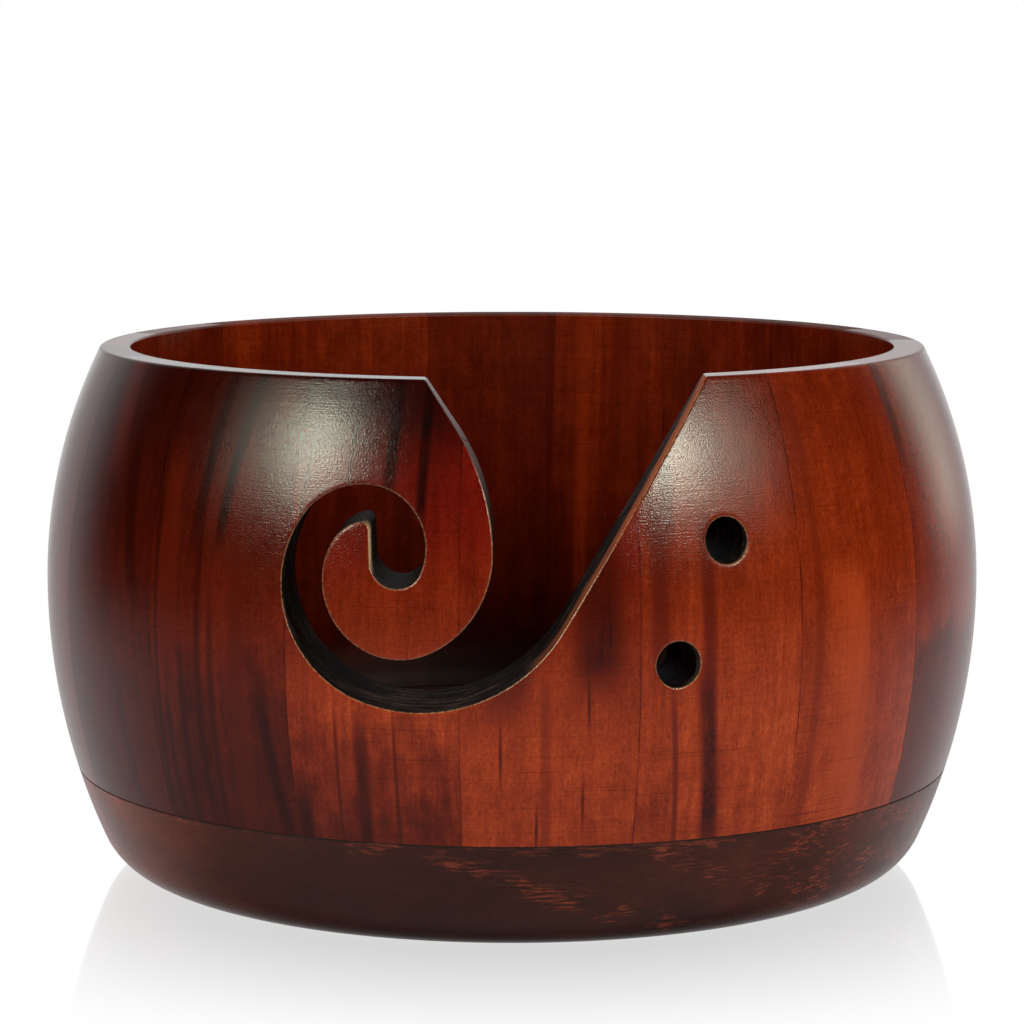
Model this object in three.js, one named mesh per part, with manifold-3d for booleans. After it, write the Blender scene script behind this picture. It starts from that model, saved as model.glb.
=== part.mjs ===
// Yarn bowl: a ring of upright wooden staves glued edge to edge on a base of glued boards,
// turned round outside and bored straight inside, with a yarn slot that runs in from a wide
// mouth in the rim, round a curled hook, and two round holes for needles or a second strand.
// Millimetres, +Z up. The origin is the centre of the underside, and -Y is the slot's side.

import * as THREE from "three";
import { mergeVertices } from "three/addons/utils/BufferGeometryUtils.js";
import Module from "manifold-3d";

// ---- driving dimensions ----------------------------------------------------------------
const BODY_HEIGHT = 100;
const BELLY_RADIUS = 89; // widest outside radius
const BELLY_HEIGHT = 55.3; // height of the widest place
const SHOULDER_ARC = 98.9; // outside arc from the belly up to the rim
const LOWER_ARC = 120; // outside arc from the belly down to the foot
const FOOT_ARC = 12.1; // round corner between the lower arc and the underside
const BORE_RADIUS = 72.7; // straight inside wall
const FLOOR_HEIGHT = 18.5; // inside floor, dished a little into the base boards
const FLOOR_COVE = 6; // round inside corner between the wall and the floor
const SEAM_HEIGHT = 20.5; // joint between the base boards and the staves
const GLUE_LINE = 0.3; // gap left at every glued joint

const STAVES = 18;
const FIRST_JOINT = -5.8; // degrees round from -Y towards +X
const FACETS_PER_STAVE = 4;
const BASE_BOARDS = 3; // glued edge to edge, grain along X
const BOARD_WIDTH = 60;

// The slot is cut from the front, and its walls close in very slightly towards the inside.
const FRONT_PLANE = -BELLY_RADIUS; // the outline's plane
const TAPER_LENGTH = 520; // distance from that plane to the point where the walls would meet
const TAPER_HEIGHT = 80; // height of that point, which is on the bowl's centre plane
const CUT_START = -50; // the cutter reaches from inside the bore
const CUT_END = -97; // to in front of the belly
const MOUTH_RIGHT = { x: 34, z: 100 }; // where the mouth's right edge meets the rim's height
const MOUTH_HEADING = 238.5; // direction in which that edge runs down, degrees from +X
const OVER_RIM = 12; // the outline goes on past both ends by this much

// The outline from the mouth's right edge to its left edge, as seen from the front: straight
// lengths, and arcs with the angle they turn through, where minus is clockwise.
const SLOT_OUTLINE = [
  { straight: 48.6 }, // right edge of the mouth
  { radius: 29.8, turn: -75.7 }, // throat
  { radius: 20.4, turn: -108.3 }, // outer side of the slot, under and left of the hook
  { radius: 13.4, turn: -60.2 }, // over the top of the curl
  { radius: 10.3, turn: -108.8 },
  { radius: 4.5, turn: -153.5 }, // round end of the slot
  { straight: 5.3 }, // back of the curl's tip
  { radius: 1.5, turn: 103.2 }, // the tip
  { radius: 7.8, turn: 45.4 }, // outer side of the curl
  { radius: 13.1, turn: 143.9 },
  { radius: 18.8, turn: 65.3 }, // front of the hook
  { radius: 36.9, turn: 34 },
  { straight: 14.5 }, // left edge of the mouth
];
const ARC_STEP = 12; // degrees between points on the slot's arcs

const HOLE_RADIUS = 3.95; // holes drilled towards the bowl's axis
const HOLE_SIDES = 24;
const HOLES = [
  { angle: 24.7, height: 72.8 },
  { angle: 18.55, height: 52.2 },
];

const WALL_COLOURS = [0x8c3a1c, 0x7a2e1a, 0x96441f, 0x6b2518]; // taken in turn by the staves
const BASE_COLOUR = 0x43190f;

// ---- helpers ---------------------------------------------------------------------------
const wasm = await Module();
wasm.setup();

const radians = THREE.MathUtils.degToRad;
const degrees = THREE.MathUtils.radToDeg;
const STAVE_ANGLE = 360 / STAVES;
const FACET_ANGLE = STAVE_ANGLE / FACETS_PER_STAVE;

function solidOf(geometry) {
  const bare = geometry.clone();
  bare.deleteAttribute("normal");
  bare.deleteAttribute("uv");
  const merged = mergeVertices(bare, 1e-4);
  return new wasm.Manifold(
    new wasm.Mesh({
      numProp: 3,
      vertProperties: new Float32Array(merged.attributes.position.array),
      triVerts: new Uint32Array(merged.index.array),
    }),
  );
}

function geometryOf(solid) {
  const mesh = solid.getMesh();
  const geometry = new THREE.BufferGeometry();
  geometry.setAttribute("position", new THREE.BufferAttribute(mesh.vertProperties, 3));
  geometry.setIndex(new THREE.BufferAttribute(mesh.triVerts, 1));
  geometry.computeVertexNormals();
  return geometry;
}

function woodMesh(name, geometry, colour) {
  const wood = new THREE.MeshStandardMaterial({ color: colour, roughness: 0.28, metalness: 0 });
  const mesh = new THREE.Mesh(geometry, wood);
  mesh.name = name;
  return mesh;
}

// Points of an arc about (cx, cy), from one angle to another in degrees, both ends included.
function arcPoints(cx, cy, radius, from, to, count) {
  return Array.from({ length: count + 1 }, (_, i) => {
    const a = radians(from + ((to - from) * i) / count);
    return new THREE.Vector2(cx + radius * Math.cos(a), cy + radius * Math.sin(a));
  });
}

// ---- the turned section ----------------------------------------------------------------
// The lower arc runs tangent into the foot arc, which runs tangent into the underside.
const lowerCentre = BELLY_RADIUS - LOWER_ARC;
const footRise = BELLY_HEIGHT - FOOT_ARC;
const footCentre = lowerCentre + Math.sqrt((LOWER_ARC - FOOT_ARC) ** 2 - footRise ** 2);
const footTangent = degrees(Math.atan2(-footRise, footCentre - lowerCentre));
const shoulderCentre = BELLY_RADIUS - SHOULDER_ARC;

const lowerAngle = (height) => degrees(Math.asin((height - BELLY_HEIGHT) / LOWER_ARC));
const shoulderAngle = (height) => degrees(Math.asin((height - BELLY_HEIGHT) / SHOULDER_ARC));
const coveAngle = (height) => degrees(Math.asin((height - FLOOR_HEIGHT - FLOOR_COVE) / FLOOR_COVE));

const lowerPoints = (from, to, count) =>
  arcPoints(lowerCentre, BELLY_HEIGHT, LOWER_ARC, lowerAngle(from), lowerAngle(to), count);
const covePoints = (from, to, count) =>
  arcPoints(
    BORE_RADIUS - FLOOR_COVE,
    FLOOR_HEIGHT + FLOOR_COVE,
    FLOOR_COVE,
    coveAngle(from),
    coveAngle(to),
    count,
  );

// Turns a section of (radius, height) points about the bowl's axis.
function turned(section) {
  const start = radians(FIRST_JOINT + FACET_ANGLE / 2);
  const lathe = new THREE.LatheGeometry(section, STAVES * FACETS_PER_STAVE, start);
  return lathe.rotateX(Math.PI / 2);
}

function wallRing() {
  const foot = SEAM_HEIGHT + GLUE_LINE;
  const section = [
    ...lowerPoints(foot, BELLY_HEIGHT, 5),
    ...arcPoints(shoulderCentre, BELLY_HEIGHT, SHOULDER_ARC, 0, shoulderAngle(BODY_HEIGHT), 6).slice(1),
    new THREE.Vector2(BORE_RADIUS, BODY_HEIGHT),
    ...covePoints(FLOOR_HEIGHT + FLOOR_COVE, foot, 2),
  ];
  section.push(section[0].clone());
  return solidOf(turned(section));
}

function baseSlab() {
  const section = [
    new THREE.Vector2(0, 0),
    ...arcPoints(footCentre, FOOT_ARC, FOOT_ARC, -90, footTangent, 5),
    ...lowerPoints(FOOT_ARC + FOOT_ARC * Math.sin(radians(footTangent)), SEAM_HEIGHT, 3).slice(1),
    ...covePoints(SEAM_HEIGHT, FLOOR_HEIGHT, 2),
    new THREE.Vector2(0, FLOOR_HEIGHT),
  ];
  return solidOf(turned(section));
}

// ---- cutters ---------------------------------------------------------------------------
// The upright wedge between two joint planes, half a glue line inside each.
function staveWedge(fromJoint) {
  const half = radians(STAVE_ANGLE / 2);
  const reach = BELLY_RADIUS * 1.2;
  const apex = GLUE_LINE / 2 / Math.sin(half);
  const wedge = new THREE.Shape([
    new THREE.Vector2(0, -apex),
    new THREE.Vector2(reach * Math.sin(half), -apex - reach * Math.cos(half)),
    new THREE.Vector2(-reach * Math.sin(half), -apex - reach * Math.cos(half)),
  ]);
  const geometry = new THREE.ExtrudeGeometry(wedge, { depth: BODY_HEIGHT * 2, bevelEnabled: false });
  geometry.translate(0, 0, -BODY_HEIGHT / 2);
  return solidOf(geometry.rotateZ(radians(fromJoint + STAVE_ANGLE / 2)));
}

function slotOutline() {
  let heading = radians(MOUTH_HEADING);
  let x = MOUTH_RIGHT.x - OVER_RIM * Math.cos(heading);
  let z = MOUTH_RIGHT.z - OVER_RIM * Math.sin(heading);
  const points = [new THREE.Vector2(x, z)];
  const last = SLOT_OUTLINE.length - 1;
  SLOT_OUTLINE.forEach((piece, index) => {
    if (piece.straight) {
      const extra = index === 0 || index === last ? OVER_RIM : 0;
      x += (piece.straight + extra) * Math.cos(heading);
      z += (piece.straight + extra) * Math.sin(heading);
      points.push(new THREE.Vector2(x, z));
      return;
    }
    const side = Math.sign(piece.turn);
    const cx = x - side * piece.radius * Math.sin(heading);
    const cz = z + side * piece.radius * Math.cos(heading);
    const from = degrees(heading) - side * 90;
    const steps = Math.max(3, Math.ceil(Math.abs(piece.turn) / ARC_STEP));
    points.push(...arcPoints(cx, cz, piece.radius, from, from + piece.turn, steps).slice(1));
    ({ x, y: z } = points[points.length - 1]);
    heading += radians(piece.turn);
  });
  return new THREE.Shape(points);
}

function slotCutter() {
  const depth = CUT_START - CUT_END;
  const geometry = new THREE.ExtrudeGeometry(slotOutline(), { depth, bevelEnabled: false });
  geometry.rotateX(Math.PI / 2); // the outline's height becomes +Z, and its depth runs to -Y
  geometry.translate(0, CUT_START, 0);
  const position = geometry.attributes.position;
  for (let i = 0; i < position.count; i++) {
    const scale = 1 - (position.getY(i) - FRONT_PLANE) / TAPER_LENGTH;
    const height = TAPER_HEIGHT + (position.getZ(i) - TAPER_HEIGHT) * scale;
    position.setXYZ(i, position.getX(i) * scale, position.getY(i), height);
  }
  return solidOf(geometry);
}

function holeDrill({ angle, height }) {
  const length = BELLY_RADIUS / 2;
  const drill = new THREE.CylinderGeometry(HOLE_RADIUS, HOLE_RADIUS, length, HOLE_SIDES);
  drill.translate(0, -BELLY_RADIUS, height);
  return solidOf(drill.rotateZ(radians(angle)));
}

// ---- sub-parts -------------------------------------------------------------------------
function buildStaves() {
  const ring = wallRing();
  const slot = slotCutter();
  const drills = HOLES.map(holeDrill);
  const wall = new THREE.Group();
  const plain = geometryOf(ring.intersect(staveWedge(FIRST_JOINT)));

  for (let k = 0; k < STAVES; k++) {
    const joint = FIRST_JOINT + k * STAVE_ANGLE;
    const name = "stave_" + String(k + 1).padStart(2, "0");
    const colour = WALL_COLOURS[k % WALL_COLOURS.length];
    const whole = ring.intersect(staveWedge(joint));
    const cut = [slot, ...drills].reduce((solid, tool) => solid.subtract(tool), whole);
    if (Math.abs(cut.volume() - whole.volume()) < 1) {
      const stave = woodMesh(name, plain, colour);
      stave.rotation.z = radians(k * STAVE_ANGLE);
      wall.add(stave);
      continue;
    }
    // A stave that the slot cuts right through leaves a lower piece and a piece of the hook.
    const pieces = cut.decompose().sort((a, b) => a.boundingBox().min[2] - b.boundingBox().min[2]);
    const endings = pieces.length > 1 ? ["_lower", "_hook"] : [""];
    if (pieces.length > endings.length) throw new Error(name + " falls into too many pieces");
    pieces.forEach((piece, i) => wall.add(woodMesh(name + endings[i], geometryOf(piece), colour)));
  }
  return wall;
}

function buildBase() {
  const slab = baseSlab();
  const base = new THREE.Group();
  const names = ["base_board_front", "base_board_middle", "base_board_back"];
  for (let k = 0; k < BASE_BOARDS; k++) {
    // The outer boards reach past the bowl's edge, and the turned slab trims them.
    const outer = k === 0 || k === BASE_BOARDS - 1;
    const width = (outer ? BELLY_RADIUS : BOARD_WIDTH) - GLUE_LINE;
    const side = k - (BASE_BOARDS - 1) / 2;
    const middle = side * (BOARD_WIDTH / 2 + BELLY_RADIUS / 2);
    const blank = new THREE.BoxGeometry(BELLY_RADIUS * 3, width, BODY_HEIGHT);
    const board = slab.intersect(solidOf(blank.translate(0, middle, 0)));
    base.add(woodMesh(names[k], geometryOf(board), BASE_COLOUR));
  }
  return base;
}

const yarnBowl = new THREE.Group();
yarnBowl.add(buildBase(), buildStaves());

export default yarnBowl;
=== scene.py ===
"""Looks of the yarn bowl: finely turned staves and base boards, lacquered wood, and a pale studio.

Lengths in the geometry sections are millimetres and become metres where a mesh is made.
"""

import math

import bmesh
import bpy
import numpy as np
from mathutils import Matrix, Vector
from mathutils.geometry import delaunay_2d_cdt


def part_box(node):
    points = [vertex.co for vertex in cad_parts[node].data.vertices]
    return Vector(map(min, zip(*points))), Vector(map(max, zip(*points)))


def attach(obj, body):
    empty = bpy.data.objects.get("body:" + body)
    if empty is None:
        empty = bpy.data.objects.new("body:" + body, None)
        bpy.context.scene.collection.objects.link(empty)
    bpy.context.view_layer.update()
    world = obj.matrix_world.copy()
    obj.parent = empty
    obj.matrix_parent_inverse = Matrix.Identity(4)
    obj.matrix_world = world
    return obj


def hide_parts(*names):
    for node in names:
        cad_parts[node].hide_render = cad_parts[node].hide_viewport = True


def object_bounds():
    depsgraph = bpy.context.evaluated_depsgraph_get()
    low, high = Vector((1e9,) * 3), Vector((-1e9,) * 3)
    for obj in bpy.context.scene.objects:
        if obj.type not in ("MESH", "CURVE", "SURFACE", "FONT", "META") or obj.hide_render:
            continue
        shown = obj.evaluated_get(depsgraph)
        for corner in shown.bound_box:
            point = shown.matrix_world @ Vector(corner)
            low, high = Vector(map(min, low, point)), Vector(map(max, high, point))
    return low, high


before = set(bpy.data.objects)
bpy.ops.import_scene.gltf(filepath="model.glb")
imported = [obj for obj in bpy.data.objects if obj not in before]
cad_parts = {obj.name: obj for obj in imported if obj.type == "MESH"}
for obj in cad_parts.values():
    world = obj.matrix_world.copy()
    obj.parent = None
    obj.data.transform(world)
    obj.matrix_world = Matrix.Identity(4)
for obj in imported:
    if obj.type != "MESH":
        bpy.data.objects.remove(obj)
CAD_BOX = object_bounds()
MM = 0.001

# ---- dimensions, as in the CAD part ------------------------------------------------------
BODY_HEIGHT = CAD_BOX[1].z / MM
SEAM_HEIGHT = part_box("base_board_front")[1].z / MM
BELLY_RADIUS = 89.0
BELLY_HEIGHT = 55.3
SHOULDER_ARC = 98.9
LOWER_ARC = 120.0
FOOT_ARC = 12.1
BORE_RADIUS = 72.7
FLOOR_HEIGHT = 18.5
FLOOR_COVE = 6.0

STAVES = 18
CUT_STAVES = (17, 18, 1, 2)  # the staves that the slot and the holes touch
STAVE_ANGLE = 360 / STAVES
FIRST_JOINT = -5.8
BOARD_JOINTS = (-30.0, 30.0)
JOINT_GAP = 0.03  # the glued joints are closed up here
EDGE_ROUND = 0.45  # sanded edges of the rim, the slot and the holes
SEAM_ROUND = 0.12

FRONT_PLANE = -BELLY_RADIUS
TAPER_LENGTH = 520.0  # the slot's walls lean towards a point this far behind the front plane
TAPER_HEIGHT = 80.0
MOUTH_RIGHT = (34.0, 100.0)
MOUTH_HEADING = 238.5
SLOT_OUTLINE = [  # straight lengths, and arcs as (radius, turn in degrees), minus is clockwise
    48.6,
    (29.8, -75.7),
    (20.4, -108.3),
    (13.4, -60.2),
    (10.3, -108.8),
    (4.5, -153.5),
    5.3,
    (1.5, 103.2),
    (7.8, 45.4),
    (13.1, 143.9),
    (18.8, 65.3),
    (36.9, 34.0),
    14.5,
]
CURL_TIP = (-23.9, 72.4)  # middle of the curl's blunt end, x and z
HOLE_RADIUS = 3.95
HOLES = [(24.7, 72.8), (18.55, 52.2)]  # angle and height

TURNED, SAWN = 0, 1  # material slots of a stave
GRID = 1.5  # spacing of the points on curved faces


# ---- turned section ----------------------------------------------------------------------
def arc(cx, cy, radius, start, end, step=None, count=None):
    """Points of an arc, both ends included, angles in degrees."""
    length = abs(math.radians(end - start)) * radius
    n = count or max(2, math.ceil(length / (step or GRID)))
    a = np.radians(np.linspace(start, end, n + 1))
    return np.column_stack([cx + radius * np.cos(a), cy + radius * np.sin(a)])


def outer_radius(z):
    z = np.asarray(z, float)
    reach = np.where(z >= BELLY_HEIGHT, SHOULDER_ARC, LOWER_ARC)
    return BELLY_RADIUS - reach + np.sqrt(reach**2 - (z - BELLY_HEIGHT) ** 2)


def inner_radius(z):
    dip = np.clip(FLOOR_HEIGHT + FLOOR_COVE - np.asarray(z, float), 0, FLOOR_COVE)
    return BORE_RADIUS - FLOOR_COVE + np.sqrt(FLOOR_COVE**2 - dip**2)


def outer_points(low, high):
    """The outside profile between two heights above the foot's corner."""
    z = np.linspace(low, high, max(2, round((high - low) / GRID)))
    return np.column_stack([outer_radius(z), z])


def rounded(section, offsets, segments=4):
    """A closed section with corners rounded: offsets maps a point's index to how far the arc reaches."""
    out = []
    count = len(section)
    for i, point in enumerate(section):
        if i not in offsets:
            out.append(point)
            continue
        before, after = section[i - 1] - point, section[(i + 1) % count] - point
        before, after = before / np.linalg.norm(before), after / np.linalg.norm(after)
        half = math.acos(np.clip(before @ after, -1, 1)) / 2
        radius = offsets[i] * math.tan(half)
        middle = (before + after) / np.linalg.norm(before + after)
        centre = point + middle * radius / math.sin(half)
        a, b = point + before * offsets[i] - centre, point + after * offsets[i] - centre
        sweep = math.acos(np.clip(a @ b / radius**2, -1, 1))
        for k in range(segments + 1):
            t = k / segments
            out.append(centre + (math.sin((1 - t) * sweep) * a + math.sin(t * sweep) * b) / math.sin(sweep))
    return np.array(out)


# ---- mesh helpers ------------------------------------------------------------------------
def new_mesh_object(name, bm):
    """Makes an object from a bmesh in millimetres, with its sharp edges marked."""
    bmesh.ops.recalc_face_normals(bm, faces=bm.faces)
    for face in bm.faces:
        face.smooth = True
    for edge in bm.edges:
        edge.smooth = edge.is_manifold and edge.calc_face_angle(0) < math.radians(38)
    bmesh.ops.scale(bm, vec=Vector((MM,) * 3), verts=bm.verts)
    mesh = bpy.data.meshes.new(name)
    bm.to_mesh(mesh)
    bm.free()
    made = bpy.data.objects.new(name, mesh)
    bpy.context.scene.collection.objects.link(made)
    weighted = made.modifiers.new("even shading", "WEIGHTED_NORMAL")
    weighted.keep_sharp = True
    return made


def cut(bm, point, normal):
    """Cuts away what lies on the normal's side of a plane and closes the cut."""
    geom = bm.verts[:] + bm.edges[:] + bm.faces[:]
    done = bmesh.ops.bisect_plane(
        bm, geom=geom, dist=1e-4, plane_co=point, plane_no=normal, clear_outer=True
    )
    edges = [e for e in done["geom_cut"] if isinstance(e, bmesh.types.BMEdge)]
    bmesh.ops.edgeloop_fill(bm, edges=edges)


def joint_plane(angle, side):
    """Point and outward normal of a stave's joint face: side is 1 where the wood ends at a larger angle."""
    a = math.radians(angle)
    across = Vector((math.cos(a), math.sin(a), 0)) * side
    return across * (-JOINT_GAP / 2), across


def sector(bm, first, last):
    """The part of a closed mesh between two joints, as a new bmesh."""
    part = bm.copy()
    cut(part, *joint_plane(last, 1))
    cut(part, *joint_plane(first, -1))
    return part


def loose_parts(bm):
    """The separate bodies of a bmesh, lowest first, each as its own bmesh."""
    left, groups = set(bm.verts), []
    while left:
        found, edge_of = set(), [next(iter(left))]
        while edge_of:
            vert = edge_of.pop()
            if vert in found:
                continue
            found.add(vert)
            edge_of.extend(e.other_vert(vert) for e in vert.link_edges)
        left -= found
        groups.append(found)
    groups.sort(key=lambda g: min(v.co.z for v in g))
    parts = []
    for group in groups:
        part = bm.copy()
        part.verts.ensure_lookup_table()
        keep = {v.index for v in group}
        bmesh.ops.delete(part, geom=[v for v in part.verts if v.index not in keep], context="VERTS")
        parts.append(part)
    return parts


# ---- plain staves ------------------------------------------------------------------------
def stave_section():
    """Closed section of the wall from the seam to the rim, as (radius, height)."""
    foot = SEAM_HEIGHT + JOINT_GAP
    outside = outer_points(foot, BODY_HEIGHT)
    bore = np.array([[BORE_RADIUS, z] for z in np.linspace(BODY_HEIGHT, FLOOR_HEIGHT + FLOOR_COVE, 24)])
    lowest = math.degrees(math.asin((foot - FLOOR_HEIGHT - FLOOR_COVE) / FLOOR_COVE))
    cove = arc(BORE_RADIUS - FLOOR_COVE, FLOOR_HEIGHT + FLOOR_COVE, FLOOR_COVE, 0, lowest, count=5)[1:]
    section = np.vstack([outside, bore, cove])
    rim = len(outside)
    return rounded(section, {0: SEAM_ROUND, rim - 1: EDGE_ROUND, rim: EDGE_ROUND})


def swept_stave(section, first):
    """A stave turned about the axis from one joint to the next."""
    slack = math.degrees(JOINT_GAP / 2 / BELLY_RADIUS)
    steps = 14
    angles = np.radians(np.linspace(first + slack, first + STAVE_ANGLE - slack, steps + 1))
    bm = bmesh.new()
    rings = [
        [bm.verts.new((r * math.sin(a), -r * math.cos(a), z)) for r, z in section] for a in angles
    ]
    count = len(section)
    for one, two in zip(rings, rings[1:]):
        for i in range(count):
            j = (i + 1) % count
            bm.faces.new((one[i], one[j], two[j], two[i]))
    bm.faces.new(rings[0][::-1])
    bm.faces.new(rings[-1])
    return bm


# ---- the wall's front, with the slot and the holes ----------------------------------------
# Points of the front are named by (u, v): where the straight line through them towards the
# taper's far point crosses the front plane. A slot wall keeps the same (u, v) all the way in.
SHEET_LEFT, SHEET_RIGHT = FIRST_JOINT - 42.0, FIRST_JOINT + 42.0  # angles beyond the outer joints
ARC_STEP = 1.2


def on_line(u, v, depth):
    """The point at a depth behind the front plane, on the line named (u, v)."""
    shrink = 1 - depth / TAPER_LENGTH
    return np.column_stack([u * shrink, FRONT_PLANE + depth, TAPER_HEIGHT + (v - TAPER_HEIGHT) * shrink])


def named_by(points):
    """The (u, v) of points in space."""
    shrink = 1 - (points[:, 1] - FRONT_PLANE) / TAPER_LENGTH
    return np.column_stack([points[:, 0] / shrink, TAPER_HEIGHT + (points[:, 2] - TAPER_HEIGHT) / shrink])


def on_surface(names, radius_at):
    """The points of a turned surface that the lines (u, v) meet first."""
    u, v = names[:, 0], names[:, 1]
    near, far = np.full(len(u), -1.0), np.full(len(u), 60.0)
    for _ in range(50):
        middle = (near + far) / 2
        p = on_line(u, v, middle)
        outside = np.hypot(p[:, 0], p[:, 1]) > radius_at(p[:, 2])
        near, far = np.where(outside, middle, near), np.where(outside, far, middle)
    return on_line(u, v, near)


def heading_vector(degrees):
    """Unit vector in the front plane, its angle counted from +X towards +Z."""
    return np.array([math.cos(math.radians(degrees)), math.sin(math.radians(degrees))])


def slot_curve():
    """The slot's outline between its two straight mouth edges, with their headings."""
    heading = MOUTH_HEADING
    at = np.array(MOUTH_RIGHT) + SLOT_OUTLINE[0] * heading_vector(heading)
    path = [at[None]]
    for piece in SLOT_OUTLINE[1:-1]:
        if isinstance(piece, float):
            run = np.linspace(0, piece, max(2, round(piece / GRID)) + 1)[1:]
            stretch = at + run[:, None] * heading_vector(heading)
        else:
            radius, turn = piece
            side = math.copysign(1, turn)
            ahead = heading_vector(heading)
            centre = at + side * radius * np.array([-ahead[1], ahead[0]])
            count = max(math.ceil(abs(turn) / 9), math.ceil(math.radians(abs(turn)) * radius / ARC_STEP))
            start = heading - side * 90
            stretch = arc(*centre, radius, start, start + turn, count=count)[1:]
            heading += turn
        path.append(stretch)
        at = stretch[-1]
    return np.vstack(path), heading


def mouth_edge(start, heading, radius_at, count):
    """A straight mouth edge from a point of the outline up to the rim, as (u, v)."""
    short, long = 0.0, 80.0
    for _ in range(50):
        middle = (short + long) / 2
        top = on_surface((start + middle * heading_vector(heading))[None], radius_at)[0][2]
        short, long = (middle, long) if top < BODY_HEIGHT else (short, middle)
    return start + np.linspace(0, short, count + 1)[1:, None] * heading_vector(heading)


def front_outline(radius_at):
    """The outline of the front on one turned surface: loops of points in space, slot included."""
    curve, last_heading = slot_curve()
    right = mouth_edge(curve[0], MOUTH_HEADING - 180, radius_at, 34)[::-1]
    left = mouth_edge(curve[-1], last_heading, radius_at, 11)
    slot = on_surface(np.vstack([right, curve, left]), radius_at)
    foot = SEAM_HEIGHT + JOINT_GAP

    def border(angle_1, z_1, angle_2, z_2, count):
        a = np.radians(np.linspace(angle_1, angle_2, count + 1)[1:])
        z = np.linspace(z_1, z_2, count + 1)[1:]
        r = radius_at(z)
        return np.column_stack([r * np.sin(a), -r * np.cos(a), z])

    mouth = [math.degrees(math.atan2(p[0], -p[1])) for p in (slot[0], slot[-1])]
    slot[[0, -1], 2] = BODY_HEIGHT
    return np.vstack([
        slot,
        border(mouth[1], BODY_HEIGHT, SHEET_LEFT, BODY_HEIGHT, 26),
        border(SHEET_LEFT, BODY_HEIGHT, SHEET_LEFT, foot, 40),
        border(SHEET_LEFT, foot, SHEET_RIGHT, foot, 70),
        border(SHEET_RIGHT, foot, SHEET_RIGHT, BODY_HEIGHT, 40),
        border(SHEET_RIGHT, BODY_HEIGHT, mouth[0], BODY_HEIGHT, 12)[:-1],
    ])


def hole_rim(angle, height, radius_at):
    """Where a drilled hole's wall meets a turned surface, as a closed loop of points in space."""
    a = math.radians(angle)
    out = np.array([math.sin(a), -math.cos(a), 0])
    across = np.array([math.cos(a), math.sin(a), 0])
    turn = np.radians(np.arange(0, 360, 9))
    offset = HOLE_RADIUS * (np.cos(turn)[:, None] * across + np.sin(turn)[:, None] * np.array([0, 0, 1]))
    reach = np.full(len(turn), float(radius_at(height)))
    for _ in range(30):
        p = offset + np.array([0, 0, height]) + reach[:, None] * out
        reach += radius_at(p[:, 2]) - np.hypot(p[:, 0], p[:, 1])
    return offset + np.array([0, 0, height]) + reach[:, None] * out


def inside(points, loop):
    """Even-odd test of many points against one closed loop."""
    x, y = points[:, 0][:, None], points[:, 1][:, None]
    a, b = loop, np.roll(loop, -1, axis=0)
    crosses = (a[:, 1] > y) != (b[:, 1] > y)
    with np.errstate(divide="ignore", invalid="ignore"):
        at = a[:, 0] + (y - a[:, 1]) * (b[:, 0] - a[:, 0]) / (b[:, 1] - a[:, 1])
    return (crosses & (x < at)).sum(axis=1) % 2 == 1


def distance_to(points, loops):
    """Shortest distance from each point to any of some closed loops."""
    best = np.full(len(points), np.inf)
    for loop in loops:
        for p, q in zip(loop, np.roll(loop, -1, axis=0)):
            along = q - p
            t = np.clip((points - p) @ along / (along @ along), 0, 1)
            best = np.minimum(best, np.linalg.norm(points - p - t[:, None] * along, axis=1))
    return best


def inner_points(loops):
    """Points between the outlines: a row close beside each, which keeps faces regular, and a grid."""
    clear = GRID * 0.62
    low, high = loops[0].min(axis=0), loops[0].max(axis=0)
    gx, gy = np.meshgrid(np.arange(low[0], high[0], GRID), np.arange(low[1], high[1], GRID))
    gx[::2] += GRID / 2
    spread = np.column_stack([gx.ravel(), gy.ravel()])
    spread = spread[distance_to(spread, loops) > clear * 1.75]
    rows = []
    for line in loops:
        ahead = np.roll(line, -1, axis=0) - np.roll(line, 1, axis=0)
        ahead /= np.linalg.norm(ahead, axis=1)[:, None]
        beside = np.column_stack([-ahead[:, 1], ahead[:, 0]]) * clear
        rows += [line + beside, line - beside]
    rows = np.vstack(rows)
    rows = rows[distance_to(rows, loops) > clear * 0.93]
    kept = [rows[0]]
    for p in rows[1:]:
        if min(np.hypot(*(p - q)) for q in kept[-60:]) > clear * 0.6:
            kept.append(p)
    return np.vstack([kept, spread])


def skin(loops):
    """Triangles between the outlines. Returns every point's (u, v), the loops' first, and triangles."""
    points = np.vstack([*loops, inner_points(loops)])
    edges, start = [], 0
    for line in loops:
        n = len(line)
        edges += [(start + i, start + (i + 1) % n) for i in range(n)]
        start += n
    _, _, faces, origin, _, _ = delaunay_2d_cdt([Vector(p) for p in points], edges, [], 0, 1e-5, True)
    index = np.array([o[0] for o in origin])
    triangles = index[np.array([list(f) for f in faces])]
    middle = points[triangles].mean(axis=1)
    wood = inside(middle, loops[0])
    for line in loops[1:]:
        wood &= ~inside(middle, line)
    return points, triangles[wood]


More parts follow.
